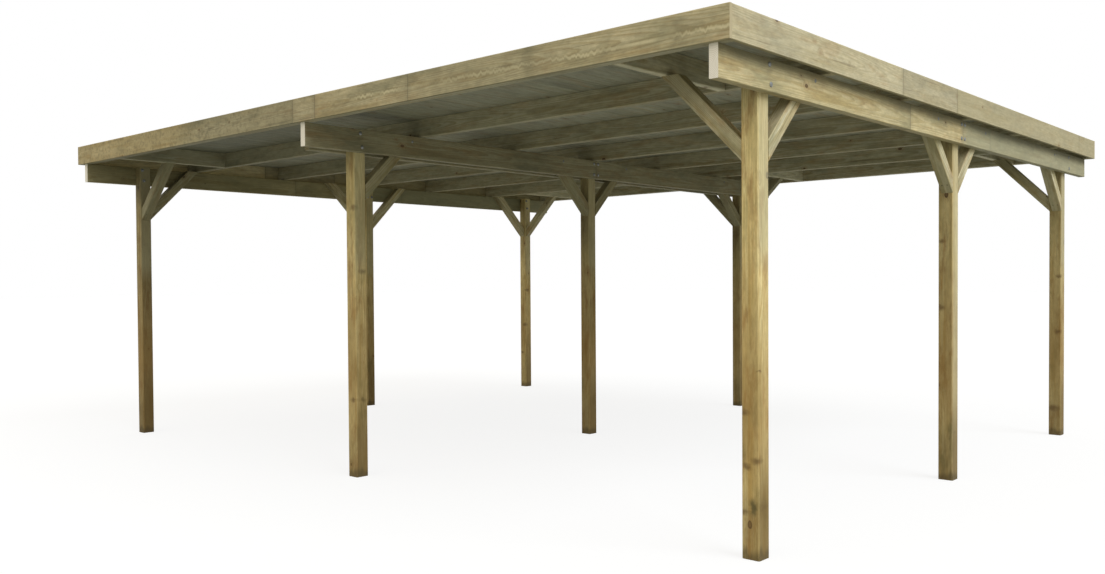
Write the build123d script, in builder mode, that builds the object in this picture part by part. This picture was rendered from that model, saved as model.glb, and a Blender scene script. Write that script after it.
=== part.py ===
"""Flat-roofed timber double carport: nine posts, long beams, rafters, braces, boarded roof and fascia.

Frame: millimetres, +Z up, origin on the ground under the middle of the roof, +X to the right, +Y to the back.
"""
from build123d import *

import os

# ---- driving dimensions ----
bay_width = 2940          # post centre to post centre, across the front
bay_depth = 2335          # post centre to post centre, front to back
side_overhang = 160       # outer post centre to the outer face of the side fascia
end_overhang = 465        # front or back post centre to the outer face of that fascia
headroom = 2090           # ground to the underside of the beams
joint_gap = 1             # open joint where two boards butt end to end

post_width = 90
post_ease = 6             # flat on each long edge of a post

beam_thick = 45
beam_height = 145
beam_end_gap = 5          # beam end to the inner face of the fascia
beam_joint_y = 0          # butt joint in each beam, over the middle of the centre post
inner_beam_setback = 120  # how far one beam of the middle pair stops short at the front

rafter_thick = 45
rafter_height = 120
rafter_count = 7
timber_ease = 3           # flat on the long edges of beams, rafters and braces

fascia_thick = 20
fascia_upstand = 1        # fascia top above the highest felt
fascia_ease = 2
end_joint_x = 0           # butt joint in the front and back fascia
side_joint_y = -290       # butt joint in the side fascia

board_thick = 19
board_cover = 112         # visible width of one roof board, rounded to fill the roof
groove_width = 8
groove_depth = 4

felt_thick = 3
felt_roll = 1000          # width of one strip of roofing felt
lap_width = 100
lap_rise = 2

brace_size = 70           # square section
brace_drop = 300          # lower corner of the brace on the post, below the beam
trimmer_past_brace = 7.5  # far face of a trimmer past the tip of the brace head under it

# ---- derived places ----
columns = {"left": -bay_width, "middle": 0, "right": bay_width}
rows = {"front": -bay_depth, "centre": 0, "back": bay_depth}
post_face = post_width / 2
beam_top = headroom + beam_height
rafter_top = beam_top + rafter_height
deck_top = rafter_top + board_thick
fascia_height = deck_top + felt_thick + lap_rise + fascia_upstand - beam_top
roof_x = bay_width + side_overhang
roof_y = bay_depth + end_overhang
inner_x = roof_x - fascia_thick
inner_y = roof_y - fascia_thick
beam_end = inner_y - beam_end_gap
first_rafter = -inner_y + rafter_thick / 2
rafter_pitch = -2 * first_rafter / (rafter_count - 1)
brace_foot = headroom - brace_drop
brace_reach = beam_top - brace_foot
brace_cut = brace_size * 2**0.5       # length of a plumb or level cut across a 45 degree brace
trimmer_offset = post_face + brace_reach + trimmer_past_brace - rafter_thick / 2

os.makedirs("parts", exist_ok=True)


def save(piece, name):
    """Label one finished piece and write it to its own file."""
    piece.part.label = name
    export_step(piece.part, f"parts/{name}.step")


def section_plane(run, start, centre):
    """The plane across a timber's run at its start, set on the middle of the section."""
    if run == "X":
        return Plane(origin=(start, *centre), x_dir=(0, 1, 0), z_dir=(1, 0, 0))
    if run == "Y":
        return Plane(origin=(centre[0], start, centre[1]), x_dir=(1, 0, 0), z_dir=(0, 1, 0))
    return Plane(origin=(*centre, start))


def planed_timber(run, width, height, ease, lengths):
    """Straight timbers of one section; each length is (section centre, start, end) along the run."""
    with BuildPart() as timber:
        for centre, start, end in lengths:
            with BuildSketch(section_plane(run, start, centre)) as section:
                Rectangle(width, height)
                chamfer(section.vertices(), length=ease)
            extrude(amount=end - start)
    return timber


def two_boards(centre, start, end, joint):
    """A run made of two boards that butt at a joint."""
    return [(centre, start, joint - joint_gap / 2), (centre, joint + joint_gap / 2, end)]


# ---- posts: they run up beside the beams to the underside of the rafters ----
for row, y in rows.items():
    for column, x in columns.items():
        post = planed_timber("Z", post_width, post_width, post_ease, [((x, y), 0, beam_top)])
        save(post, f"post_{row}_{column}")

# ---- beams: one bolted to the outside of each outer row, a pair clasping the middle row ----
beams = {
    "beam_left": (-bay_width, -1, 0),
    "beam_middle_left": (0, -1, inner_beam_setback),
    "beam_middle_right": (0, 1, 0),
    "beam_right": (bay_width, 1, 0),
}
for name, (post_x, outward, setback) in beams.items():
    centre = (post_x + outward * (post_face + beam_thick / 2), headroom + beam_height / 2)
    boards = two_boards(centre, -beam_end + setback, beam_end, beam_joint_y)
    beam = planed_timber("Y", beam_thick, beam_height, timber_ease, boards)
    save(beam, name)

# ---- rafters: on top of the beams, evenly spread from the front fascia to the back one ----
for index in range(rafter_count):
    centre = (first_rafter + index * rafter_pitch, beam_top + rafter_height / 2)
    length = (centre, -inner_x, inner_x)
    rafter = planed_timber("X", rafter_thick, rafter_height, timber_ease, [length])
    save(rafter, f"rafter_{index + 1}")

# ---- trimmers between the two end rafters, over the heads of the sideways braces ----
# (end of the roof, and for each column the sides of its post that carry a sideways brace)
sideways = {
    "front": (-1, {"left": (1,), "right": (-1,)}),
    "back": (1, {"left": (1,), "middle": (-1, 1), "right": (-1,)}),
}
outer_rafter_face = inner_y - rafter_thick
inner_rafter_face = -first_rafter - rafter_pitch + rafter_thick / 2
for row, (end, sides) in sideways.items():
    start, stop = sorted((end * outer_rafter_face, end * inner_rafter_face))
    lengths = [
        ((columns[column] + side * trimmer_offset, beam_top + rafter_height / 2), start, stop)
        for column, post_sides in sides.items()
        for side in post_sides
    ]
    trimmers = planed_timber("Y", rafter_thick, rafter_height, timber_ease, lengths)
    save(trimmers, f"trimmers_{row}")


# ---- braces: 45 degrees, plumb-cut at the post and level-cut at the head ----
def brace_outline():
    """Side view of a brace: x runs away from the post's face, y is height."""
    with BuildLine() as outline:
        Polyline(
            (0, brace_foot),
            (brace_reach, beam_top),
            (brace_reach - brace_cut, beam_top),
            (0, brace_foot + brace_cut),
            close=True,
        )
    return outline.line


def is_sloping(edge):
    """True for the long edges of a brace."""
    return 0.5 < abs(edge.tangent_at(0.5).Z) < 0.9


# near face of a lengthways brace: its far face or its near one lies against a beam's inner face
beside_beam = {"left": -post_face, "middle": post_face - brace_size, "right": post_face - brace_size}
lengthways = {"front": (1,), "centre": (-1, 1), "back": (-1,)}

for row, y in rows.items():
    for column, x in columns.items():
        across = sideways[row][1].get(column, ()) if row in sideways else ()
        with BuildPart() as braces:
            for side in lengthways[row]:
                elevation = Plane(
                    origin=(x + beside_beam[column], y + side * post_face, 0),
                    x_dir=(0, side, 0),
                    z_dir=(side, 0, 0),
                )
                with BuildSketch(elevation):
                    add(brace_outline())
                    make_face()
                extrude(amount=side * brace_size)
            for side in across:
                elevation = Plane(
                    origin=(x + side * post_face, y - brace_size / 2, 0),
                    x_dir=(side, 0, 0),
                    z_dir=(0, -side, 0),
                )
                with BuildSketch(elevation):
                    add(brace_outline())
                    make_face()
                extrude(amount=-side * brace_size)
            chamfer(braces.edges().filter_by(is_sloping), length=timber_ease)
        save(braces, f"braces_{row}_{column}")

# ---- roof boards, tongued together, with a V groove at each joint on the underside ----
board_count = round(2 * inner_x / board_cover)
board_pitch = 2 * inner_x / board_count
for name, end in (("roof_boards_front", -1), ("roof_boards_back", 1)):
    with BuildPart() as boards:
        with BuildSketch(Plane.XY.offset(rafter_top)):
            with Locations((0, end * inner_y / 2)):
                Rectangle(2 * inner_x, inner_y)
        extrude(amount=board_thick)
        with BuildSketch(Plane.XZ):
            for index in range(1, board_count):
                x = -inner_x + index * board_pitch
                with BuildLine():
                    Polyline(
                        (x - groove_width / 2, rafter_top),
                        (x, rafter_top + groove_depth),
                        (x + groove_width / 2, rafter_top),
                        close=True,
                    )
                make_face()
        extrude(amount=-end * inner_y, mode=Mode.SUBTRACT)
    save(boards, name)

# ---- roofing felt: strips laid front to back, each lap a low step ----
lap_pitch = felt_roll - lap_width
lap_count = int((2 * inner_x - felt_roll) // lap_pitch) + 1
with BuildPart() as felt:
    with BuildSketch(Plane.XY.offset(deck_top)):
        Rectangle(2 * inner_x, 2 * inner_y)
    extrude(amount=felt_thick)
    with BuildSketch(Plane.XY.offset(deck_top + felt_thick)):
        with GridLocations(lap_pitch, 1, lap_count, 1):
            Rectangle(lap_width, 2 * inner_y)
    extrude(amount=lap_rise)
save(felt, "roof_felt")

# ---- fascia: front and back boards run to the corners, the side boards fit between them ----
fascia_middle = beam_top + fascia_height / 2
for name, outward in (("fascia_left", -1), ("fascia_right", 1)):
    centre = (outward * (inner_x + fascia_thick / 2), fascia_middle)
    boards = two_boards(centre, -inner_y, inner_y, side_joint_y)
    save(planed_timber("Y", fascia_thick, fascia_height, fascia_ease, boards), name)

for name, outward in (("fascia_front", -1), ("fascia_back", 1)):
    centre = (outward * (inner_y + fascia_thick / 2), fascia_middle)
    boards = two_boards(centre, -roof_x, roof_x, end_joint_x)
    save(planed_timber("X", fascia_thick, fascia_height, fascia_ease, boards), name)
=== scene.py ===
# %% [markdown]
# # A timber double carport
# Nine square posts carry long beams, seven rafters and a boarded, felted roof behind a fascia.
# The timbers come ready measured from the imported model, which is loaded first and never moved.
# What is left for Blender is what makes it look like treated pine: rings, knots, stains and damp feet,
# and the small metal that holds the pieces together.

# %% Load the carport's timbers
import math
from functools import partial

import bpy
from mathutils import Matrix, Vector


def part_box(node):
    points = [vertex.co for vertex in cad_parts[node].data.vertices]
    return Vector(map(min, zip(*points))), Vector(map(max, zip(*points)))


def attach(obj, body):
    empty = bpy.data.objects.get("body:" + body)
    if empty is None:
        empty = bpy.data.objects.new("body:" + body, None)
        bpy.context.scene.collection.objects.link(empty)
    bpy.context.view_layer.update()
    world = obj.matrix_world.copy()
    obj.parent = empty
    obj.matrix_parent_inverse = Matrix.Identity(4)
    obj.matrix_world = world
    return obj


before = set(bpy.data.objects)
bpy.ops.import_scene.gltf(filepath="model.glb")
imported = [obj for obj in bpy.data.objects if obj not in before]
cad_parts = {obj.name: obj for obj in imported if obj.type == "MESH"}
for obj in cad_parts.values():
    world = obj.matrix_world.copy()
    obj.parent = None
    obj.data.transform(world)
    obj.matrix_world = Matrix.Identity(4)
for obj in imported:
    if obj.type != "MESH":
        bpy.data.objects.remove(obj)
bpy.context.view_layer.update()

# %% [markdown]
# ## Measures taken from the model
# Every place below is worked out from the corners of the loaded timbers, so a bolt stays on its beam
# if the carport is built in another size.

# %% Post rows, beam faces and roof lines
ROWS = ("front", "centre", "back")
COLUMNS = ("left", "middle", "right")


def middle(box):
    """Centre of a box given by its two corners."""
    return (Vector(box[0]) + Vector(box[1])) / 2


post_at = {(row, column): middle(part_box(f"post_{row}_{column}")) for row in ROWS for column in COLUMNS}
bay_x = post_at["front", "right"].x
bay_y = post_at["back", "middle"].y
post_low, post_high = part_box("post_front_right")
half_post = (post_high.x - post_low.x) / 2
beam_low, beam_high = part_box("beam_right")
half_beam = (beam_high - beam_low) / 2
rafter_low, rafter_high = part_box("rafter_1")
rafter_lines = [middle(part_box(f"rafter_{i}")).y for i in range(1, 8)]
fascia_low, fascia_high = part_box("fascia_front")
foot_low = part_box("braces_front_right")[0].z
print(f"bays {bay_x:.3f} x {bay_y:.3f} m, beams from {beam_low.z:.3f} to {beam_high.z:.3f} m")

# %% [markdown]
# ## The camera
# Someone stands a few steps off the front right corner and holds the camera level at chest height.
# Placing it by a point and a turn keeps the posts upright; the tiny shift only frames the picture.

# %% Camera at the front right corner
EYE = Vector((5.253, -6.259, 1.263))
YAW, PITCH, ROLL = 0.7301, -0.0204, -0.0064
LENS_IN_WIDTHS = 0.897

forward = Vector((-math.sin(YAW), math.cos(YAW), 0)) * math.cos(PITCH)
forward.z = math.sin(PITCH)
level_right = Vector((math.cos(YAW), math.sin(YAW), 0))
level_up = level_right.cross(forward)
right = level_right * math.cos(ROLL) + level_up * math.sin(ROLL)
up = right.cross(forward)

lens = bpy.data.cameras.new("camera")
lens.sensor_width = 36
lens.lens = LENS_IN_WIDTHS * lens.sensor_width
lens.shift_x = -0.0039
lens.shift_y = 0.0123
lens.clip_end = 200
camera = bpy.data.objects.new("camera", lens)
bpy.context.collection.objects.link(camera)
turn = Matrix((right, up, -forward)).transposed().to_4x4()
camera.matrix_world = Matrix.Translation(EYE) @ turn
bpy.context.scene.camera = camera
print("lens", round(lens.lens, 1), "mm")

# %% [markdown]
# ## Colours and nodes
# Colours are given as sRGB hex, but shaders work in linear light, so one function turns them.
# A second small function adds any node in one line: its settings by name, and what goes into it in
# the order of its sockets. A node given as an input stands for its first output.

# %% Helpers for colours and nodes


def linear(hex_code):
    """An sRGB hex colour as linear red, green, blue and alpha."""
    channels = [int(hex_code[i : i + 2], 16) / 255 for i in (1, 3, 5)]
    return [c / 12.92 if c <= 0.04045 else ((c + 0.055) / 1.055) ** 2.4 for c in channels] + [1]


def add_node(owner, kind, *inputs, sockets=None, **settings):
    """Add a node to a material or world, set it, and feed its sockets with values or other nodes."""
    node = owner.node_tree.nodes.new("ShaderNode" + kind)
    for name, value in settings.items():
        setattr(node, name, value)
    open_sockets = [socket for socket in node.inputs if socket.enabled]
    fed = list(zip(open_sockets, inputs))
    fed += [(node.inputs[name], value) for name, value in (sockets or {}).items()]
    for socket, value in fed:
        if isinstance(value, bpy.types.Node):
            value = next(output for output in value.outputs if output.enabled)
        if isinstance(value, bpy.types.NodeSocket):
            owner.node_tree.links.new(value, socket)
        else:
            socket.default_value = value
    return node


def blank_material(name):
    """A new material with no nodes yet, and the function that adds nodes to it."""
    material = bpy.data.materials.new(name)
    material.use_nodes = True
    material.node_tree.nodes.clear()
    return material, partial(add_node, material)


def gap_between(add, a, b):
    """How far apart two numbers are."""
    return add("Math", add("Math", a, b, operation="SUBTRACT"), operation="ABSOLUTE")


# %% [markdown]
# ## Floor, sky and lamps
# The carport stands on a plain pale floor in soft daylight. A broad lamp on the right stands for the
# bright side of an overcast sky, and a broader, lower one for the open front. A pale floor would throw
# far too much light up under the roof, so only the camera and mirrors see it pale: light that bounces
# off it meets something like worn gravel.

# %% What the camera sees by itself


def seen_directly(add):
    """One where the camera looks, also by a mirror or through glass, and nought for bounced light."""
    path = add("LightPath")
    seen = add("Math", path.outputs["Is Camera Ray"], path.outputs["Is Glossy Ray"], operation="ADD")
    return add("Math", seen, path.outputs["Is Transmission Ray"], operation="ADD", use_clamp=True)


# %% Pale floor
bpy.ops.object.select_all(action="DESELECT")
bpy.ops.mesh.primitive_plane_add(size=160)
floor = bpy.context.object
floor.name = "floor"

floor_paint, add = blank_material("pale_floor")
pale = add("AddShader", add("BsdfDiffuse", linear("#757573")), add("Emission", linear("#ffffff"), 0.84))
gravel = add("BsdfDiffuse", linear("#acafa6"))
add("OutputMaterial", add("MixShader", seen_directly(add), gravel, pale))
floor.data.materials.append(floor_paint)
print("floor", round(floor.dimensions.x), "m wide")

# %% Sky and the two broad lamps
sky = bpy.data.worlds.new("overcast")
bpy.context.scene.world = sky
sky.use_nodes = True
sky.node_tree.nodes.clear()
add = partial(add_node, sky)
cloud = add("Background", linear("#fff9ee"), 0.58)
backdrop = add("Background", linear("#ffffff"), 1.0)
add("OutputWorld", add("MixShader", seen_directly(add), cloud, backdrop))

for name, towards, strength, spread, colour in (
    ("bright_side", (0.80, 0.0, 0.60), 2.32, 44, "#ebf2ff"),
    ("open_front", (0.10, -1.00, 0.75), 0.62, 60, "#fff6e6"),
):
    daylight = bpy.data.lights.new(name, "SUN")
    daylight.energy = strength
    daylight.angle = math.radians(spread)
    daylight.color = linear(colour)[:3]
    lamp = bpy.data.objects.new(name, daylight)
    bpy.context.collection.objects.link(lamp)
    lamp.rotation_euler = Vector(towards).to_track_quat("Z", "Y").to_euler()
    print(name, "lamp from", towards)

bpy.context.scene.view_settings.view_transform = "Standard"

# %% [markdown]
# ## Treated pine
# Pressure-treated pine is planed softwood soaked in a green-brown copper salt. Up close it shows
# growth rings, cut lengthways into arches on the wide face and into lines on the edge; brown knots
# where branches grew; and blotches where the wood took more or less of the salt. Patterns painted on
# each face would never meet at the corners. So this material is a solid one: it grows a log round a
# pith line beside each timber and lets the faces cut through it. The rings then run over the edges,
# and close as arcs on a sawn end.

# %% Where a point lies in its own timber


def timber_place(add, first, spacing, run):
    """Place along and across the grain, and a triple that differs from timber to timber.

    first is the middle of one timber, spacing the step to the next one on each axis, run its long axis.
    """
    from_first = add("VectorMath", add("TexCoord").outputs["Object"], first, operation="SUBTRACT")
    half = Vector(spacing) / 2
    local = add("VectorMath", from_first, half, -half, operation="WRAP")
    which = add("VectorMath", from_first, local, operation="SUBTRACT")
    axis = add("SeparateXYZ", local).outputs
    order = {"X": (0, 1, 2), "Y": (1, 0, 2), "Z": (2, 0, 1)}[run]
    return add("CombineXYZ", *[axis[i] for i in order]), which


# %% [markdown]
# Almost every pattern in wood is drawn out along the grain: fibres, streaks, cracks and blotches. So one
# function makes a noise from two measures: how many of its patches fit in a metre along the grain, and
# how many across it.

# %% A noise that runs with the grain


def grain_noise(add, own, along, across, *detail):
    """A noise with so many patches to the metre along and across the grain."""
    stretched = add("VectorMath", own, (along, across, across), operation="MULTIPLY")
    return add("TexNoise", stretched, 1.0, *detail)


# %% [markdown]
# A knot is the foot of a branch. The wood is cut into long blocks, about one knot to a block, each with
# its own chance, place and size. Round a knot the rings swerve aside, which the halo is for.

# %% Knots, from the place in the log


def knots_in(add, own, size, share):
    """How much a point is in a knot, on a knot's dark rim, and how near to one it is."""
    block = Vector((0.40, 0.085, 0.085))
    in_blocks = add("VectorMath", own, block, operation="DIVIDE")
    cell = add("TexVoronoi", in_blocks, 1.0, sockets={"Randomness": 0.9})
    offset = add("VectorMath", in_blocks, cell.outputs["Position"], operation="SUBTRACT")
    # a knot is cut at a slant, so it is longer along the grain
    offset = add("VectorMath", offset, block * Vector((0.62, 1, 1)), operation="MULTIPLY")
    away = add("VectorMath", offset, operation="LENGTH")
    ragged = grain_noise(add, own, 14, 45, 2.0)
    away = add("Math", away, 0.0035, operation="SUBTRACT")
    away = add("Math", ragged, 0.007, away, operation="MULTIPLY_ADD")
    luck = add("SeparateColor", cell.outputs["Color"])
    grown = add("Math", luck, 1 - share, operation="GREATER_THAN")
    girth = add("MapRange", luck, 1 - share, 1.0, 0.35 * size, size)
    ratio = add("Math", away, girth, operation="DIVIDE")
    knot = add("MapRange", ratio, 1.1, 0.85, interpolation_type="SMOOTHSTEP")
    rim = add("MapRange", gap_between(add, ratio, 0.9), 0.25, 0.05)
    halo = add("MapRange", ratio, 3.4, 0.9, interpolation_type="SMOOTHSTEP")
    return [add("Math", part, grown, operation="MULTIPLY") for part in (knot, rim, halo)]


# %% [markdown]
# A tree adds a pale band each spring and a dark one each summer. The dark one starts softly and stops
# sharply, so the ring is a sawtooth. Real rings here are 2 to 5 mm wide. They are drawn a little
# coarser, so that they still show from across a drive.

# %% Growth rings round a pith line that wanders
RING = 0.0065


def summer_wood(add, grain, own, chance, pith, lean, halo):
    """How much of the dark summer band lies at a point."""
    slow = grain_noise(add, own, 0.9, 2.0, 2.0, 0.4)
    wander = add("VectorMath", slow.outputs["Color"], (0.5, 0.5, 0.5), operation="SUBTRACT")
    wander = add("VectorMath", wander, (0, 0.06, 0.06), operation="MULTIPLY")
    spread = add("VectorMath", chance, (0.5, 0.5, 0.5), operation="SUBTRACT")
    spread = add("VectorMath", spread, (0, 0.04, 0.04), operation="MULTIPLY")
    along = add("SeparateXYZ", grain).outputs[0]
    # the log tapers, so the saw crosses a new ring every few hands along the face
    taper = add("CombineXYZ", 0.0, add("Math", along, lean, operation="MULTIPLY"), 0.0)
    place = add("VectorMath", grain, (0, *pith), operation="ADD")
    for shift in (wander, spread, taper):
        place = add("VectorMath", place, shift, operation="ADD")
    across = add("VectorMath", place, (0, 1, 1), operation="MULTIPLY")
    rings = add("Math", add("VectorMath", across, operation="LENGTH"), RING, operation="DIVIDE")
    rings = add("Math", halo, 1.7, rings, operation="MULTIPLY_ADD")
    uneven = grain_noise(add, own, 1.7, 17, 3.0)
    rings = add("Math", uneven, 1.5, rings, operation="MULTIPLY_ADD")
    ring = add("Math", rings, operation="FRACT")
    rise = add("MapRange", ring, 0.30, 0.90, interpolation_type="SMOOTHSTEP")
    drop = add("MapRange", ring, 1.0, 0.92, interpolation_type="SMOOTHSTEP")
    return add("Math", rise, drop, operation="MULTIPLY")


# %% [markdown]
# Knots, streaks, stains and dirt all colour the wood without hiding it. A separate material for each
# would be hard to follow, so they are laid over the wood in thin coats, like glazes. A coat is a share,
# where it lies, and a colour.

# %% Coats of colour


def coated(add, base, coats):
    """Lay coats over a base colour, in order. Each is a share, where it lies, and a colour."""
    for share, where, colour in coats:
        cover = add("Math", share, where, operation="MULTIPLY")
        base = add("Mix", cover, base, linear(colour), data_type="RGBA")
    return base


# %% [markdown]
# Now the parts come together. Fibres are the finest pattern, and also give the surface its faint
# ridges. Dark streaks and blotches of salt lie over the rings. Some pieces are made of short lengths
# joined end to end: each length is another tree, so the pattern and the tint change at every joint.

# %% The whole timber


def pine(add, grain, which, pith, colours, section, joints=(), tints=(1.0,), blotchy=0.7, heart=0.25,
         lean=0.012, knot=(0.012, 0.6), ends="#a8966c", sealed_from=9.0, paint=None):
    """Fill a material with solid pine. colours are spring wood, summer wood and stain."""
    spring, summer, stain = colours
    along, left, high = add("SeparateXYZ", grain).outputs

    # a number for each length between joints, so that each gets its own tree
    tint = tints[0]
    for joint, before, after in zip(joints, tints, tints[1:]):
        past = add("Math", along, joint, operation="GREATER_THAN")
        which = add("VectorMath", which, add("CombineXYZ", past, past, past), operation="ADD")
        tint = add("Math", past, after - before, tint, operation="MULTIPLY_ADD")
    number = add("VectorMath", which, (3.1, 3.3, 3.7), (0.37, 0.41, 0.43), operation="MULTIPLY_ADD")
    number = add("VectorMath", number, (0.25, 0.25, 0.25), operation="SNAP")
    chance = add("TexWhiteNoise", number).outputs["Color"]
    own = add("VectorMath", chance, (37, 11, 7), grain, operation="MULTIPLY_ADD")

    in_knot, rim, halo = knots_in(add, own, *knot)
    dark_band = summer_wood(add, grain, own, chance, pith, lean, halo)

    # fibres are hair fine; drawn 4 mm wide and a hand long, as coarse as the grain reads at a distance
    fibre = grain_noise(add, own, 9, 260, 2.0)
    streak = grain_noise(add, own, 1.4, 30, 3.0)
    blotch = grain_noise(add, own, 2.4, 8, 4.0, 0.62)
    mottle = grain_noise(add, own, 16, 48, 4.0, 0.7)
    warm = grain_noise(add, own, 5, 19, 4.0, 0.65)
    check = grain_noise(add, own, 1.2, 75, 1.0)

    streaky = add("MapRange", streak, 0.46, 0.74, 0.0, 0.8, interpolation_type="SMOOTHSTEP")
    warm = add("MapRange", warm, 0.48, 0.70, 0.0, heart, interpolation_type="SMOOTHSTEP")
    salt = add("MapRange", blotch, 0.40, 0.80, 0.0, blotchy, interpolation_type="SMOOTHSTEP")
    # drying checks: hair cracks along the grain
    cracked = add("MapRange", check, 0.70, 0.74, 0.0, 0.32, interpolation_type="SMOOTHSTEP")
    wood = coated(add, linear(spring), (
        (dark_band, 0.6, summer),
        (streaky, 1.0, summer),
        (warm, 1.0, "#9c7440"),
        (salt, 1.0, stain),
        (cracked, 1.0, "#4a3d26"),
    ))

    # light and dark: each timber, each length, the fibres and a fine mottle
    luck = add("SeparateColor", chance).outputs[1]
    tone = add("Math", add("MapRange", luck, 0.0, 1.0, 0.91, 1.07), tint, operation="MULTIPLY")
    tone = add("Math", tone, add("MapRange", fibre, 0.2, 0.8, 0.86, 1.14), operation="MULTIPLY")
    tone = add("Math", tone, add("MapRange", mottle, 0.3, 0.7, 0.84, 1.16), operation="MULTIPLY")
    # handling and rain wear the edges paler
    worn = [
        add("MapRange", add("Math", side, operation="ABSOLUTE"), half - 0.009, half - 0.002)
        for side, half in zip((left, high), section)
    ]
    worn = add("Math", *worn, operation="MULTIPLY")
    tone = add("Math", worn, 0.14, tone, operation="MULTIPLY_ADD")
    wood = add("VectorMath", wood, add("CombineXYZ", tone, tone, tone), operation="MULTIPLY")

    wood = coated(add, wood, ((halo, 0.32, "#8a6236"), (in_knot, 0.8, "#5e4326"), (rim, 0.7, "#35271a")))
    for joint in joints:
        gap = gap_between(add, along, joint)
        smudge = add("MapRange", gap, 0.045, 0.0, 0.0, 0.28, interpolation_type="SMOOTHSTEP")
        patchy = add("MapRange", mottle, 0.35, 0.6)
        line = add("MapRange", gap, 0.0055, 0.001, 0.0, 0.42, interpolation_type="SMOOTHSTEP")
        wood = coated(add, wood, ((smudge, patchy, "#6b664e"), (line, 1.0, "#40372a")))
    if paint:
        wood = paint(add, wood, blotch, streak)

    # sawn ends drink and darken; those that were brushed with sealer stay pale
    sealed = add("Math", add("Math", along, operation="ABSOLUTE"), sealed_from, operation="GREATER_THAN")
    sawn = coated(add, linear(ends), ((sealed, 1.0, "#f5efe0"), (dark_band, 0.22, "#8b7a55")))
    return wood, sawn, fibre, dark_band, in_knot


# %% [markdown]
# The wood then needs to know which faces are sawn ends, a little relief, and a surface. Planed pine is
# nearly matt: the sheen is low, and a touch higher on the smooth summer bands.

# %% Sawn ends, relief and surface


def finish_pine(add, parts, run):
    """Turn the parts of the pine into a surface. run is the long axis, or None where it varies."""
    wood, sawn, fibre, dark_band, in_knot = parts
    if run:
        facing = add("SeparateXYZ", add("TexCoord").outputs["Normal"]).outputs["XYZ".index(run)]
        is_end = add("Math", add("Math", facing, operation="ABSOLUTE"), 0.8, operation="GREATER_THAN")
        wood = add("Mix", is_end, wood, sawn, data_type="RGBA")
    relief = add("Math", dark_band, 0.6, fibre, operation="MULTIPLY_ADD")
    relief = add("Math", in_knot, 0.7, relief, operation="MULTIPLY_ADD")
    bump = add("Bump", sockets={"Strength": 0.4, "Distance": 0.0012, "Height": relief})
    rough = add("MapRange", dark_band, 0.0, 1.0, 0.80, 0.66)
    surface = add("BsdfPrincipled", wood, 0.0, rough, 1.5,
                  sockets={"Normal": bump, "Specular IOR Level": 0.3})
    add("OutputMaterial", surface)


def dress(material, *names):
    """Give a material to loaded pieces, in place of what they came with."""
    for name in names:
        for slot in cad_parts[name].material_slots:
            slot.material = material
    print(material.name, "on", *names)


# %% [markdown]
# ## Painted shade
# Weather changes each kind of timber in its own way, in coats that are laid over its pine. Two kinds of
# painted shade recur under the roof: its front left corner is painted darkest, and a face that looks
# down is painted darker.

# %% Two kinds of painted shade
CORNER_SHADE, UNDERSIDE_SHADE = "#454730", "#5c593c"


def corner_shade(add):
    """More painted shade towards the front left corner of the roof."""
    away = add("VectorMath", add("TexCoord").outputs["Object"], fascia_low, operation="DISTANCE")
    return add("MapRange", away, 3.2, 0.8, 0.0, 0.45, interpolation_type="SMOOTHSTEP")


def underside_shade(add, share):
    """Painted shade on the faces that look down."""
    facing = add("SeparateXYZ", add("TexCoord").outputs["Normal"]).outputs[2]
    return add("MapRange", facing, -0.3, -0.6, 0.0, share)


# %% [markdown]
# ## Posts
# The posts are cut from the heart of small logs, so branches leave them in whorls, and many knots
# break across a face as short dark bands. The clearest ones are placed one by one. A noise shakes their
# edges, and their height is squashed, because such a knot is wide and low. The moss low on the front
# right post is placed in the same way, but stands tall.

# %% The clearest knots: post, place from its middle line, height, size
HAND_KNOTS = (
    ("front", "right", -0.036, -0.045, 0.665, 0.024),
    ("front", "right", -0.018, -0.045, 0.420, 0.020),
    ("front", "right", 0.034, -0.045, 0.450, 0.024),
    ("front", "right", -0.032, -0.045, 0.212, 0.022),
    ("front", "right", 0.045, -0.004, 0.240, 0.026),
    ("front", "right", 0.045, -0.036, 0.850, 0.010),
    ("centre", "right", -0.032, -0.045, 1.080, 0.026),
    ("centre", "right", -0.026, -0.045, 1.490, 0.018),
    ("centre", "right", 0.045, -0.010, 0.300, 0.016),
    ("back", "right", 0.032, -0.045, 1.270, 0.020),
    ("back", "right", 0.025, -0.045, 0.830, 0.026),
    ("back", "right", -0.008, -0.045, 0.215, 0.040),
    ("front", "middle", 0.032, -0.045, 1.740, 0.026),
    ("front", "middle", 0.045, 0.014, 1.330, 0.024),
    ("front", "middle", 0.016, -0.045, 0.500, 0.022),
    ("front", "middle", 0.045, 0.008, 0.500, 0.022),
    ("back", "left", 0.045, -0.020, 1.150, 0.026),
    ("back", "left", 0.026, -0.045, 0.740, 0.030),
    ("back", "left", -0.014, -0.045, 0.410, 0.020),
)
MOSS_PATCH = Vector((0.014, -0.045, 0.238))
LEVEL = Vector((1, 1, 0))
WIDE, TALL = Vector((1, 1, 1.8)), Vector((1, 1, 0.45))
print(len(HAND_KNOTS), "knots placed by hand")


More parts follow.
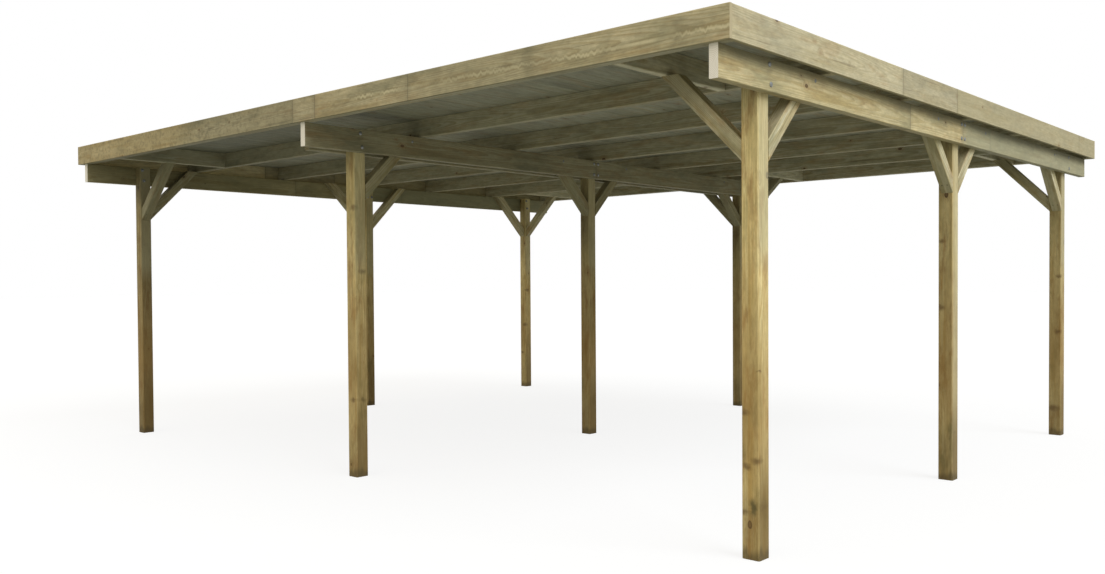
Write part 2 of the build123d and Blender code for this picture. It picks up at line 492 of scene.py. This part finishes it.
def knots_and_moss(add, place):
    """How much a point is in one of the knots above, and in the moss low on the front right post."""
    shaken = add("TexNoise", place, 38.0, 3.0).outputs["Color"]
    shaken = add("VectorMath", shaken, (0.5, 0.5, 0.5), operation="SUBTRACT")
    shaken = add("VectorMath", shaken, (0.035, 0.035, 0.035), place, operation="MULTIPLY_ADD")
    squashed = add("VectorMath", shaken, WIDE, operation="MULTIPLY")
    knots = 0.0
    for row, column, x, y, z, size in HAND_KNOTS:
        centre = (post_at[row, column] * LEVEL + Vector((x, y, z))) * WIDE
        away = add("VectorMath", squashed, centre, operation="DISTANCE")
        near = add("MapRange", away, size * 1.9, size * 0.2, interpolation_type="SMOOTHSTEP")
        knots = add("Math", knots, near, operation="MAXIMUM")
    stretched = add("VectorMath", shaken, TALL, operation="MULTIPLY")
    centre = (post_at["front", "right"] * LEVEL + MOSS_PATCH) * TALL
    away = add("VectorMath", stretched, centre, operation="DISTANCE")
    return knots, add("MapRange", away, 0.028, 0.004, 0.0, 0.8, interpolation_type="SMOOTHSTEP")


# %% [markdown]
# Posts come from different trees and stand in different light, so each has a tone of its own, and
# another on its sunny side; both tones are partly painted light and shade for where the post stands.
# One is bleached there all the way down. Those far under the roof get painted shade just below their
# braces. A material for each post would do it too, but then every change to the pine would have to be
# made nine times, so one material finds out which post a point is in.

# %% Each post: shade tone, sun tone (both partly painted light), bleaching, painted shade below braces
POST_TONES_AND_PAINTED_LIGHT = {
    ("front", "right"): (1.12, 1.12, 0.0, 0.0),
    ("centre", "right"): (0.80, 1.08, 0.45, 0.0),
    ("back", "right"): (0.86, 0.76, 0.0, 0.20),
    ("centre", "middle"): (0.76, 0.76, 0.0, 0.55),
    ("front", "left"): (0.51, 0.34, 0.0, 0.0),
    ("front", "middle"): (0.94, 1.05, 0.0, 0.0),
    ("back", "left"): (1.30, 1.30, 0.0, 0.30),
    ("back", "middle"): (0.80, 0.80, 0.0, 0.60),
}
post_reach = 1.03 * (post_high.z - post_low.z) / 2
print("a ball of radius", round(post_reach, 2), "m holds one whole post")


def post_tones(add, place, sunny):
    """Tone with painted light, bleaching and painted shade below the braces, of the post a point is in."""
    tone, bleached, shade_below_braces = 1.0, 0.0, 0.0
    for spot, (shaded_tone, sunny_tone, bleach, braces_shade_share) in POST_TONES_AND_PAINTED_LIGHT.items():
        away = add("VectorMath", place, post_at[spot], operation="DISTANCE")
        here = add("Math", away, post_reach, operation="LESS_THAN")
        change = add("MapRange", sunny, 0.0, 1.0, shaded_tone - 1, sunny_tone - 1)
        tone = add("Math", here, change, tone, operation="MULTIPLY_ADD")
        bleached = add("Math", here, bleach, bleached, operation="MULTIPLY_ADD")
        shade_below_braces = add("Math", here, braces_shade_share, shade_below_braces, operation="MULTIPLY_ADD")
    return tone, bleached, shade_below_braces


# %% [markdown]
# Posts also weather by height. Green algae sits on the lower third. The sunny side bleaches near the
# top and gathers dirt near the ground, and the head gets painted shade from the beam. The foot is
# grimy, and its last few centimetres drink from the ground and go dark.

# %% Weather and painted shade on the posts


def paint_post(add, wood, blotch, streak):
    """A post's tone with painted light, and its coats from the warm lower length to the wet foot."""
    place = add("TexCoord").outputs["Object"]
    height = add("SeparateXYZ", place).outputs[2]
    facing = add("SeparateXYZ", add("TexCoord").outputs["Normal"]).outputs[0]
    sunny = add("MapRange", facing, 0.5, 0.9)
    shaded = add("Math", 1.0, sunny, operation="SUBTRACT")
    # each post's tone on its shaded and sunny faces is partly painted light and shade
    tone, bleach, shade_below_braces = post_tones(add, place, sunny)
    wood = add("VectorMath", wood, add("CombineXYZ", tone, tone, tone), operation="MULTIPLY")
    knots, moss = knots_and_moss(add, place)

    warm = add("MapRange", height, 1.5, 0.6, 0.0, 0.6)
    warm = add("Math", warm, add("MapRange", height, 0.65, 0.25, 0.0, 0.38), operation="SUBTRACT")
    algae = add("MapRange", blotch, 0.54, 0.70, interpolation_type="SMOOTHSTEP")
    low_down = add("MapRange", height, 0.9, 0.2, 0.0, 0.55, interpolation_type="SMOOTHSTEP")
    bleached = add("MapRange", height, 1.25, 1.45, 0.0, 0.5, interpolation_type="SMOOTHSTEP")
    bleached = add("Math", bleached, bleach, operation="MAXIMUM")
    dirt = add("MapRange", height, 0.66, 0.20, 0.0, 0.8, interpolation_type="SMOOTHSTEP")
    # painted shade from the beam on the shaded faces at the head
    head = add("MapRange", height, beam_low.z - 0.22, beam_low.z + 0.02, 0.0, 0.4,
               interpolation_type="SMOOTHSTEP")
    # painted shade just below the braces, on the shaded faces of posts far under the roof
    neck = add("MapRange", height, foot_low - 0.45, foot_low - 0.05, interpolation_type="SMOOTHSTEP")
    neck = add("Math", neck, add("MapRange", height, foot_low + 0.30, foot_low + 0.12), operation="MULTIPLY")
    shade_below_braces = add("Math", shade_below_braces, shaded, operation="MULTIPLY")
    # damp climbs further in some fibres than in others
    tide = add("Math", streak, 0.09, height, operation="MULTIPLY_ADD")
    grime = add("MapRange", tide, 0.42, 0.22, 0.0, 0.32, interpolation_type="SMOOTHSTEP")
    wet = add("MapRange", tide, 0.115, 0.065, 0.0, 0.65, interpolation_type="SMOOTHSTEP")
    return coated(add, wood, (
        (warm, 1.0, "#94723a"),
        (knots, 0.66, "#5f4527"),
        (algae, low_down, "#5c5a36"),
        (moss, 1.0, "#414325"),
        (bleached, sunny, "#b4ae8c"),
        (dirt, sunny, "#705a2f"),
        (head, shaded, "#565239"),
        (neck, shade_below_braces, "#46432c"),
        (grime, shaded, "#63502c"),
        (wet, 1.0, "#4b4026"),
    ))


# %% Treated pine posts
post_pine, add = blank_material("treated_pine_posts")
grain, which = timber_place(add, (0, 0, 0), (bay_x, bay_y, 50), "Z")
parts = pine(add, grain, which, (0.03, 0.045), ("#ddcb92", "#b39452", "#9a8c56"), (half_post, half_post),
             blotchy=0.6, heart=0.65, knot=(0.013, 0.75), lean=0.006, paint=paint_post)
finish_pine(add, parts, "Z")
dress(post_pine, *[f"post_{row}_{column}" for row, column in post_at])

# %% [markdown]
# ## Beams
# The outer beams dry to a warm tan in the open. Each is two boards that butt over the centre post, the
# back one greyer, and each board is joined from shorter lengths. Their front and back ends were
# brushed with a pale sealer, which keeps the rain out of the end grain. The left and right beams are
# mirror images, so their outer and inner faces are told apart by how far out a face looks.

# %% A greyer board and painted shade on the outer beams


def paint_beam(add, wood, blotch, streak):
    """Greyer back half; painted shadow under the fascia and below; inner face olive, partly painted shade."""
    across, run, height = add("SeparateXYZ", add("TexCoord").outputs["Object"]).outputs
    facing = add("SeparateXYZ", add("TexCoord").outputs["Normal"]).outputs[0]
    outward = add("Math", facing, across, operation="MULTIPLY")
    outer = add("MapRange", outward, 0.5, 2.0)
    inner = add("MapRange", outward, -0.5, -2.0)
    back = add("MapRange", run, -0.05, 0.10, 0.0, 0.5)
    ragged = add("Math", blotch, 0.06, height, operation="MULTIPLY_ADD")
    # painted shadow of the fascia along the top of the outer face
    fascia_shadow = add("MapRange", ragged, beam_high.z - 0.040, beam_high.z + 0.025, 0.0, 0.7,
                   interpolation_type="SMOOTHSTEP")
    return coated(add, wood, (
        (back, 1.0, "#94967c"),
        (fascia_shadow, outer, "#6a6852"),
        # the inner face is darker olive: partly the salt's own colour, partly painted shade
        (0.28, inner, "#606549"),
        (corner_shade(add), inner, CORNER_SHADE),
        (underside_shade(add, 0.34), 1.0, UNDERSIDE_SHADE),
    ))


# %% Treated pine beams
outer_x, _, beam_z = middle((beam_low, beam_high))
outer_pine, add = blank_material("treated_pine_outer_beams")
grain, which = timber_place(add, (outer_x, 0, beam_z), (2 * outer_x, 50, 5), "Y")
parts = pine(add, grain, which, (0.075, 0.01), ("#cdbf92", "#ac9762", "#918b66"), (half_beam.x, half_beam.z),
             joints=(-0.81, 0.0, 0.49), tints=(1.03, 0.94, 0.87, 0.80), knot=(0.009, 0.28),
             sealed_from=2.7, paint=paint_beam)
finish_pine(add, parts, "Y")
dress(outer_pine, "beam_left", "beam_right")

pair_x = middle(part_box("beam_middle_right")).x
pair_pine, add = blank_material("treated_pine_middle_beams")
grain, which = timber_place(add, (pair_x, 0, beam_z), (2 * pair_x, 50, 5), "Y")
parts = pine(add, grain, which, (0.07, -0.01), ("#a9a282", "#887a55", "#747258"), (half_beam.x, half_beam.z),
             joints=(0.0,), tints=(0.88, 0.84), knot=(0.009, 0.25), sealed_from=2.7, ends="#6f6748")
finish_pine(add, parts, "Y")
dress(pair_pine, "beam_middle_left", "beam_middle_right")

# %% [markdown]
# ## Rafters and trimmers
# These never see the sun or rain, so they keep the dull olive of the fresh salt. A trimmer is a short
# piece between two end rafters, over the head of a brace. Like the rafters, all trimmers share one
# material, which finds the timber that a point is in by the cell that it falls in.

# %% Treated pine rafters and trimmers
rafter_step = rafter_lines[1] - rafter_lines[0]
half_rafter = (rafter_high - rafter_low) / 2
rafter_z = middle((rafter_low, rafter_high)).z
TRIMMER_CELL = 0.95  # each trimmer has a cell of this width to itself


def paint_under_roof(add, wood, *_):
    """Timbers that show nothing but painted shade in their front left corner."""
    return coated(add, wood, [(corner_shade(add), 1.0, CORNER_SHADE)])


rafter_pine, add = blank_material("treated_pine_rafters")
grain, which = timber_place(add, (0, rafter_lines[0], rafter_z), (50, rafter_step, 5), "X")
parts = pine(add, grain, which, (0.07, 0.01), ("#b3ad90", "#8d815c", "#787860"),
             (half_rafter.y, half_rafter.z), paint=paint_under_roof)
finish_pine(add, parts, "X")
dress(rafter_pine, *[f"rafter_{i}" for i in range(1, 8)])

trimmer_pine, add = blank_material("treated_pine_trimmers")
grain, which = timber_place(add, (TRIMMER_CELL / 2, 0, rafter_z), (TRIMMER_CELL, 50, 5), "Y")
parts = pine(add, grain, which, (0.06, 0.02), ("#ccc6a9", "#aa9f78", "#91917a"),
             (half_rafter.y, half_rafter.z), paint=paint_under_roof)
finish_pine(add, parts, "Y")
dress(trimmer_pine, "trimmers_front", "trimmers_back")

# %% [markdown]
# ## Braces
# Each brace climbs at 45 degrees away from its post, some along the beams and some across. One
# material serves them all: it measures how far a point is from the post, turns that and the height by
# 45 degrees, and lets the grain run up the brace.

# %% Painted shade on the braces


def paint_brace(add, wood, blotch, streak):
    """The heads under the roof get painted shade, and the braces of the middle beams are painted darkest."""
    across, _, height = add("SeparateXYZ", add("TexCoord").outputs["Object"]).outputs
    facing = add("SeparateXYZ", add("TexCoord").outputs["Normal"]).outputs[0]
    shaded = add("Math", 1.0, add("MapRange", facing, 0.5, 0.9), operation="SUBTRACT")
    # painted shade on the shaded faces of the heads
    head = add("MapRange", height, foot_low + 0.16, foot_low + 0.42, 0.0, 0.42,
               interpolation_type="SMOOTHSTEP")
    from_middle = add("Math", across, operation="ABSOLUTE")
    # painted shade on the braces of the middle beams
    middle_beam_shade = add("MapRange", from_middle, 1.4, 1.2, 0.0, 0.42)
    return coated(add, wood, (
        (head, shaded, "#625a3f"),
        (middle_beam_shade, 1.0, "#56543a"),
        (underside_shade(add, 0.22), 1.0, UNDERSIDE_SHADE),
        (corner_shade(add), 1.0, CORNER_SHADE),
    ))


# %% Treated pine braces
UP_45 = math.sqrt(0.5)
HALF_BRACE = 0.035
brace_middle = (foot_low - half_post) * UP_45 + HALF_BRACE
print("square to its slope, the middle of each brace lies at", round(brace_middle, 3))

brace_pine, add = blank_material("treated_pine_braces")
half_bay = Vector((bay_x, bay_y, 50)) / 2
place = add("TexCoord").outputs["Object"]
local = add("VectorMath", place, half_bay, -half_bay, operation="WRAP")
which = add("VectorMath", place, local, operation="SUBTRACT")
x, y, z = add("SeparateXYZ", local).outputs
out_x, out_y = add("Math", x, operation="ABSOLUTE"), add("Math", y, operation="ABSOLUTE")
# only a sideways brace lies beyond the faces that its post turns left and right
sideways = add("Math", out_x, half_post + 0.0002, operation="GREATER_THAN")
away = add("Mix", sideways, out_y, out_x)
level = add("Mix", sideways, x, y)
uphill = add("Math", add("Math", z, away, operation="ADD"), UP_45, operation="MULTIPLY")
steep = add("Math", z, away, operation="SUBTRACT")
steep = add("Math", steep, UP_45, -brace_middle, operation="MULTIPLY_ADD")
grain = add("CombineXYZ", uphill, level, steep)
side_of_post = add("VectorMath", local, operation="SIGN")
which = add("VectorMath", side_of_post, (1.0, 1.3, 0), which, operation="MULTIPLY_ADD")
parts = pine(add, grain, which, (0.05, 0.03), ("#cdc4a0", "#aa965f", "#908d67"),
             (half_post, HALF_BRACE), heart=0.45, knot=(0.010, 0.5), paint=paint_brace)
finish_pine(add, parts, None)
dress(brace_pine, *[f"braces_{row}_{column}" for row, column in post_at])

# %% [markdown]
# ## Fascia
# The fascia is thinner board, joined end to end from shorter lengths. A fine line crosses it at each
# joint and the tint jumps there. On the right half of the front board the saw ran along the pith, the
# soft core of the log, so a pale zigzag wanders along it. It lies calm for a short stretch and is
# broken in others. It could be painted on by hand, but a line whose height follows a noise is quicker
# to change and never repeats.

# %% The pale zigzag along the pith
front_y, fascia_z = middle((fascia_low, fascia_high)).yz
half_fascia = (fascia_high - fascia_low) / 2
CALM_AT = 2.66


def noise_along(add, x, per_metre, other, *detail):
    """A noise that changes along a board."""
    place = add("CombineXYZ", add("Math", x, per_metre, operation="MULTIPLY"), other)
    return add("TexNoise", place, 1.0, *detail)


def pith_line(add, place, streak):
    """The shares of the zigzag and of the shadow beside it, and how strong both are."""
    x, y, z = place
    jumpy = add("MapRange", gap_between(add, x, CALM_AT), 0.12, 0.20)
    jag = add("Math", noise_along(add, x, 42.0, y, 2.0, 0.6), 0.5, operation="SUBTRACT")
    jag = add("Math", jag, jumpy, operation="MULTIPLY")
    drift = add("Math", noise_along(add, x, 2.6, y, 1.0), 0.5, operation="SUBTRACT")
    line_z = add("MapRange", x, 1.2, 2.8, fascia_z - 0.002, fascia_z - 0.022)
    line_z = add("Math", jag, 0.046, line_z, operation="MULTIPLY_ADD")
    line_z = add("Math", drift, 0.02, line_z, operation="MULTIPLY_ADD")
    off = gap_between(add, z, line_z)
    width = add("MapRange", streak, 0.35, 0.60, 0.008, 0.014)
    pale = add("Math", off, width, operation="DIVIDE")
    pale = add("MapRange", pale, 1.0, 0.15, interpolation_type="SMOOTHSTEP")
    shadow = add("MapRange", off, 0.024, 0.010, 0.0, 0.30, interpolation_type="SMOOTHSTEP")
    strength = add("MapRange", jumpy, 0.0, 1.0, 0.95, 0.75)
    broken = add("MapRange", noise_along(add, x, 5.0, 3.7, 2.0), 0.38, 0.54, 0.2, 1.0)
    strength = add("Math", strength, broken, operation="MULTIPLY")
    return pale, shadow, add("Math", add("MapRange", x, 0.30, 0.7), strength, operation="MULTIPLY")


# %% [markdown]
# Dark bands cross the board where sticks lay between the boards while they dried. The left half has a
# darker stretch, turns yellower towards the corner, and is speckled by rain.

# %% Weather on the front fascia
# place along the board, and how dark the band is
STICK_BANDS = ((1.32, 0.30), (1.98, 0.36), (2.45, 0.22), (2.85, 0.22))
DULL_AT = 1.62
print(len(STICK_BANDS), "dark bands")


def paint_end_fascia(add, wood, blotch, streak):
    """The zigzag, bands, a duller stretch on the right; a darker stretch, speckle on the left; painted shade
    below.
    """
    at = add("TexCoord").outputs["Object"]
    place = add("SeparateXYZ", at).outputs
    pale, shadow, strength = pith_line(add, place, streak)
    x = place[0]
    uneven = add("MapRange", blotch, 0.35, 0.55)
    bands = [
        (add("MapRange", gap_between(add, x, centre), 0.06, 0.01, 0.0, dark, interpolation_type="SMOOTHSTEP"),
         uneven, "#69654b")
        for centre, dark in STICK_BANDS
    ]
    yellow = add("MapRange", x, -1.1, -1.5, 0.0, 0.35)
    dull = add("MapRange", gap_between(add, x, DULL_AT), 0.75, 0.45, 0.0, 0.30,
               interpolation_type="SMOOTHSTEP")
    darker_left = add("MapRange", x, -1.9, -0.8, 0.0, 0.42, interpolation_type="SMOOTHSTEP")
    left_half = add("Math", x, 0.0, operation="LESS_THAN")
    speckle = add("TexNoise", at, 34.0, 4.0, 0.65)
    speckle = add("MapRange", speckle, 0.47, 0.66, interpolation_type="SMOOTHSTEP")
    splashed = add("MapRange", x, 0.3, -0.6, 0.10, 0.42)
    return coated(add, wood, (
        (pale, strength, "#e4d9b0"),
        (shadow, strength, "#746740"),
        *bands,
        (yellow, 1.0, "#a68d52"),
        (dull, 1.0, "#6f6b52"),
        (darker_left, left_half, "#66634a"),
        (speckle, splashed, "#5d573c"),
        (underside_shade(add, 0.5), 1.0, UNDERSIDE_SHADE),
    ))


# %% Treated pine fascia at the front and back
end_board, add = blank_material("treated_pine_end_fascia")
grain, which = timber_place(add, (0, front_y, fascia_z), (50, -2 * front_y, 5), "X")
parts = pine(add, grain, which, (0.045, 0.0), ("#c3b893", "#a08e62", "#7f7d60"),
             (half_fascia.y, half_fascia.z), joints=(-2.86, 0.0, 0.23, 1.09),
             tints=(1.0, 0.97, 0.86, 0.98, 1.04), blotchy=0.8, lean=0.02, knot=(0.009, 0.3),
             ends="#b9ac88", paint=paint_end_fascia)
finish_pine(add, parts, "X")
dress(end_board, "fascia_front", "fascia_back")

# %% [markdown]
# The sides show none of these marks. Each is two boards from different packs, the back one yellower, so
# one coat behind their joint is enough, and painted shade underneath.

# %% Treated pine fascia at the sides
SIDE_JOINT = -0.29


def paint_side_fascia(add, wood, blotch, streak):
    """The board behind the joint is yellower, and the underside gets painted shade."""
    run = add("SeparateXYZ", add("TexCoord").outputs["Object"]).outputs[1]
    back = add("MapRange", run, SIDE_JOINT - 0.01, SIDE_JOINT + 0.01, 0.0, 0.3)
    return coated(add, wood, ((back, 1.0, "#b3a679"), (underside_shade(add, 0.5), 1.0, UNDERSIDE_SHADE)))


side_x = middle(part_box("fascia_right")).x
side_board, add = blank_material("treated_pine_side_fascia")
grain, which = timber_place(add, (side_x, 0, fascia_z), (2 * side_x, 50, 5), "Y")
parts = pine(add, grain, which, (0.09, 0.0), ("#c5ba96", "#b0a37b", "#9f9a80"),
             (half_fascia.y, half_fascia.z), joints=(-1.08, SIDE_JOINT, 2.33),
             tints=(1.03, 0.80, 0.79, 0.78), knot=(0.009, 0.35), paint=paint_side_fascia)
finish_pine(add, parts, "Y")
dress(side_board, "fascia_left", "fascia_right")

# %% [markdown]
# ## Roof boards and felt
# Seen from below, the roof is a run of narrow tongued and grooved boards, each from another tree. On
# top lies mineral felt: bitumen sheet pressed full of slate chips. The chips are about a millimetre;
# they are drawn four times larger, so that they still read as grain from above.

# %% Treated pine roof boards
BOARDS = 55
deck_low, deck_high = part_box("roof_boards_front")
board_step = (deck_high.x - deck_low.x) / BOARDS
first_board = (deck_low.x + board_step / 2, 0, (deck_low.z + deck_high.z) / 2)
print(BOARDS, "boards of", round(board_step * 1000), "mm")


def paint_deck(add, wood, blotch, streak):
    """In front of the second rafter the boards get the least light, and less still on the left."""
    across, run, _ = add("SeparateXYZ", add("TexCoord").outputs["Object"]).outputs
    first_bay = add("MapRange", run, rafter_lines[1], rafter_lines[1] - 0.06)
    to_left = add("MapRange", across, 0.8, -0.8, 0.14, 0.42)
    # both coats are painted shade
    return coated(add, wood, ((first_bay, to_left, "#4a4b35"), (corner_shade(add), 1.0, CORNER_SHADE)))


deck_pine, add = blank_material("treated_pine_roof_boards")
grain, which = timber_place(add, first_board, (board_step, 50, 5), "Y")
parts = pine(add, grain, which, (0.01, 0.05), ("#9f9d87", "#88866b", "#6e705e"), (board_step / 2, 0.01),
             joints=(0.0,), tints=(1.0, 1.0), paint=paint_deck)
finish_pine(add, parts, "Y")
dress(deck_pine, "roof_boards_front", "roof_boards_back")

# %% Mineral felt
felt, add = blank_material("mineral_felt")
place = add("TexCoord").outputs["Object"]
chips = add("TexVoronoi", place, 250.0)
chip = add("SeparateColor", chips.outputs["Color"])
weather = add("TexNoise", place, 1.4, 5.0)
washed = add("MapRange", weather, 0.4, 0.7, 0.0, 0.5)
slate = coated(add, linear("#3b3f40"), ((chip, 1.0, "#6a6d6a"), (washed, 1.0, "#5d5c4e")))
grit = add("Bump", sockets={"Strength": 0.6, "Distance": 0.0015, "Height": chip})
add("OutputMaterial", add("BsdfPrincipled", slate, 0.0, 0.93, sockets={"Normal": grit}))
dress(felt, "roof_felt")

# %% [markdown]
# ## Zinc-plated fasteners
# Coach bolts hold beam to post: a shallow dome outside, a washer and nut inside. Screws with a broad
# head hold the heads of the braces, and small deck screws their feet. Each kind is modelled once at
# the origin, facing up, then copied to its places and joined into one piece per beam. Zinc goes dull
# and blotchy outdoors, so its roughness is uneven. Deck screws have a baked coating over the zinc, in
# an olive that hides them in treated wood.

# %% Dull zinc
zinc, add = blank_material("dull_zinc")
place = add("TexCoord").outputs["Object"]
cloudy = add("TexNoise", place, 160.0, 3.0)
tarnish = coated(add, linear("#9b9d98"), [(cloudy, 1.0, "#62635d")])
uneven = add("MapRange", cloudy, 0.3, 0.7, 0.50, 0.75)
add("OutputMaterial", add("BsdfPrincipled", tarnish, 0.7, uneven))

# %% Olive coating of the deck screws
coating, add = blank_material("olive_screw_coating")
scuffed = add("TexNoise", add("TexCoord").outputs["Object"], 220.0, 2.0)
worn = coated(add, linear("#6b6440"), [(scuffed, 1.0, "#4c4930")])
add("OutputMaterial", add("BsdfPrincipled", worn, 0.0, 0.6))

# %% Start, join and copy small models


def start_model(name, metal=zinc):
    """Name the primitive just added and open it in edit mode with its top face selected."""
    model = bpy.context.object
    model.name = name
    model.data.materials.append(metal)
    bpy.ops.object.mode_set(mode="EDIT")
    bpy.ops.mesh.select_mode(type="FACE")
    bpy.ops.mesh.select_all(action="DESELECT")
    bpy.ops.object.mode_set(mode="OBJECT")
    top = max(model.data.polygons, key=lambda face: face.normal.z * 10 + face.center.z)
    top.select = True
    bpy.ops.object.mode_set(mode="EDIT")
    return model


def end_model(model):
    """Leave edit mode, put the model's place in its mesh and drop it out of the selection."""
    bpy.ops.object.mode_set(mode="OBJECT")
    bpy.ops.object.transform_apply(location=True, rotation=True, scale=True)
    bpy.ops.object.shade_smooth_by_angle(angle=math.radians(40))
    model.select_set(False)
    print(model.name, "faces:", len(model.data.polygons))


def joined(pieces, name):
    """Several objects as one, at the origin."""
    bpy.ops.object.select_all(action="DESELECT")
    for piece in pieces:
        piece.select_set(True)
    bpy.context.view_layer.objects.active = pieces[0]
    bpy.ops.object.join()
    piece = bpy.context.object
    piece.name = piece.data.name = name
    piece.select_set(False)
    return piece


def copies(model, name, places):
    """One piece made of copies of a model, each given as a point and the way its top faces."""
    made = []
    for point, facing in places:
        copy = model.copy()
        copy.data = model.data.copy()
        bpy.context.collection.objects.link(copy)
        spin = Vector(facing).to_track_quat("Z", "Y").to_matrix().to_4x4()
        copy.data.transform(Matrix.Translation(point) @ spin)
        made.append(copy)
    piece = joined(made, name)
    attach(piece, "root")
    print(name, "x", len(places))


# %% Coach bolt head: a 24 mm dome, 6 mm high
bpy.ops.mesh.primitive_cylinder_add(vertices=24, radius=0.012, depth=0.003, location=(0, 0, 0.0005))
dome = start_model("bolt_head_model")
for inward, rise in ((0.0015, 0.0016), (0.0025, 0.0012), (0.0030, 0.0007), (0.0025, 0.0003)):
    bpy.ops.mesh.inset(thickness=inward, depth=rise)
end_model(dome)

# %% Washer, nut and bolt end
nut_parts = []
for name, corners, radius, low, top, edge in (
    ("nut", 6, 0.0098, 0.0005, 0.0105, 0.0012),
    ("washer", 24, 0.0130, -0.0010, 0.0025, 0.0005),
    ("bolt_end", 16, 0.0050, -0.0010, 0.0145, 0.0010),
):
    bpy.ops.mesh.primitive_cylinder_add(
        vertices=corners, radius=radius, depth=top - low, location=(0, 0, (low + top) / 2)
    )
    part = start_model(f"{name}_model")
    bpy.ops.mesh.inset(thickness=edge, depth=edge / 2)
    end_model(part)
    nut_parts.append(part)
nut = joined(nut_parts, "nut_model")

# %% Screw with a broad head and a square drive
bpy.ops.mesh.primitive_cylinder_add(vertices=20, radius=0.009, depth=0.002, location=(0, 0, 0.0005))
screw = start_model("screw_model")
bpy.ops.mesh.inset(thickness=0.002, depth=0.0014)
bpy.ops.mesh.inset(thickness=0.0038, depth=0)
bpy.ops.mesh.inset(thickness=0.0002, depth=-0.002)
end_model(screw)

# %% Countersunk deck screw with a square drive, for the brace feet
bpy.ops.mesh.primitive_cylinder_add(vertices=16, radius=0.0048, depth=0.002, location=(0, 0, -0.0004))
deck_screw = start_model("deck_screw_model", coating)
bpy.ops.mesh.inset(thickness=0.0028, depth=0)
bpy.ops.mesh.inset(thickness=0.0002, depth=-0.001)
end_model(deck_screw)

# %% [markdown]
# Front and back posts take two bolts each, one high and one low, a little apart so that they don't
# split the same fibres. Over the centre post two beam ends meet, so each end gets its own pair. Along
# the middle beams one bolt passes through both, and through the post between them.

# %% Where the bolts go
HIGH, LOW = beam_high.z - 0.026, beam_low.z + 0.032
ACROSS = 0.026


def bolts_at(row):
    """Distance from the post's middle line and height of each bolt in one beam."""
    if row == "centre":
        return [(side * ACROSS, height) for side in (-1, 1) for height in (HIGH, LOW)]
    return [(-ACROSS, HIGH), (-ACROSS / 2, LOW)]


sides = {
    "right": (beam_high.x, bay_x - half_post, 1),
    "middle": (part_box("beam_middle_right")[1].x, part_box("beam_middle_left")[0].x, 1),
    "left": (-beam_high.x, half_post - bay_x, -1),
}
for column, (head_x, nut_x, outward) in sides.items():
    spots = [(post_at[row, column].y + across, height) for row in ROWS for across, height in bolts_at(row)]
    copies(dome, f"bolt_heads_{column}", [((head_x, y, z), (outward, 0, 0)) for y, z in spots])
    copies(nut, f"bolt_nuts_{column}", [((nut_x, y, z), (-outward, 0, 0)) for y, z in spots])

# %% [markdown]
# A lengthways brace is held by a long screw through the beam into its head, and every brace by two
# screws through its foot into the post.

# %% Where the brace screws go
BRACE_ROWS = {"front": (1,), "centre": (-1, 1), "back": (-1,)}
HEAD_OUT, HEAD_DOWN = 0.402, 0.037
for column, (head_x, _, outward) in sides.items():
    spots = [
        (post_at[row, column].y + side * HEAD_OUT, beam_high.z - HEAD_DOWN)
        for row in ROWS
        for side in BRACE_ROWS[row]
    ]
    copies(screw, f"brace_head_screws_{column}", [((head_x, y, z), (outward, 0, 0)) for y, z in spots])

CROSSWAYS = {
    "front": {"left": (1,), "right": (-1,)},
    "back": {"left": (1,), "middle": (-1, 1), "right": (-1,)},
}
BRACE_SHIFT = {"left": -0.010, "middle": 0.010, "right": 0.010}
UP_BRACE = 0.045
feet = []
for (row, column), post in post_at.items():
    out, height = half_post + UP_BRACE, foot_low + UP_BRACE
    for across in (-0.016, 0.016):
        for side in BRACE_ROWS[row]:
            feet.append(((post.x + BRACE_SHIFT[column] + across, post.y + side * out, height), (0, side, -1)))
        for side in CROSSWAYS.get(row, {}).get(column, ()):
            feet.append(((post.x + side * out, post.y + across, height), (side, 0, -1)))
copies(deck_screw, "brace_foot_screws", feet)

# %% [markdown]
# The felt is nailed along each lap with flat clout nails a hand apart. There are hundreds, so each is
# only a low eight-sided cone.

# %% Clout nails along the laps
bpy.ops.mesh.primitive_cone_add(
    vertices=8, radius1=0.005, radius2=0.0015, depth=0.001, location=(0, 0, 0.0002)
)
nail = start_model("nail_model")
end_model(nail)

felt_low, felt_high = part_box("roof_felt")
LAPS, LAP_STEP, NAIL_STEP = 6, 0.9, 0.1
nail_rows = int((felt_high.y - felt_low.y) / NAIL_STEP)
nails = [
    (((lap - (LAPS - 1) / 2) * LAP_STEP, (row - (nail_rows - 1) / 2) * NAIL_STEP, felt_high.z), (0, 0, 1))
    for lap in range(LAPS)
    for row in range(nail_rows)
]
copies(nail, "felt_nails", nails)

# %% Put the models away
for model in (dome, nut, screw, deck_screw, nail):
    bpy.data.objects.remove(model)
